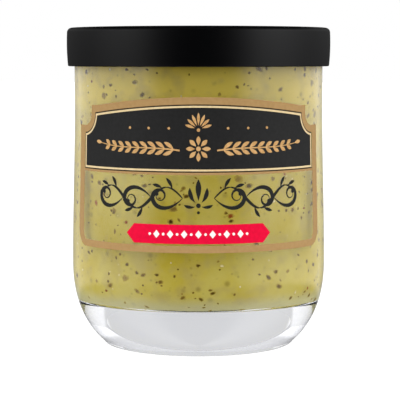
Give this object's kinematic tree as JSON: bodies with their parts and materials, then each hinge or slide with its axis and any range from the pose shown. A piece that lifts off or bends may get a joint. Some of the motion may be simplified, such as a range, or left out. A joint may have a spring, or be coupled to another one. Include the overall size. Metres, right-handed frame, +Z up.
{
  "type": "mustard jar",
  "caption": "Thick-footed clear glass tumbler jar filled with grainy mustard, closed by a black press-on cap, with a printed wrap label on its front.",
  "frame": {"origin": "middle of the foot, on the surface that the jar stands on", "axes": "+Z up along the jar's axis, the label's middle faces -Y, +X to the right as seen from the front"},
  "size_m": [0.065, 0.065, 0.0778],
  "materials": {
    "clear_glass": "clear, fire-polished soda-lime glass",
    "mustard_paste": "smooth yellow paste with dark bran specks, wetting the glass",
    "black_cap": "satin moulded polypropylene",
    "tan_print": "tan ink under a clear film",
    "black_print": "black ink under a clear film",
    "red_print": "red ink under a clear film"
  },
  "bodies": {
    "root": {"glass": "clear_glass", "mustard": "mustard_paste", "cap": "black_cap", "label_border": "tan_print", "label_panel": "black_print", "label_ribbon": "red_print"}
  },
  "joints": []
}
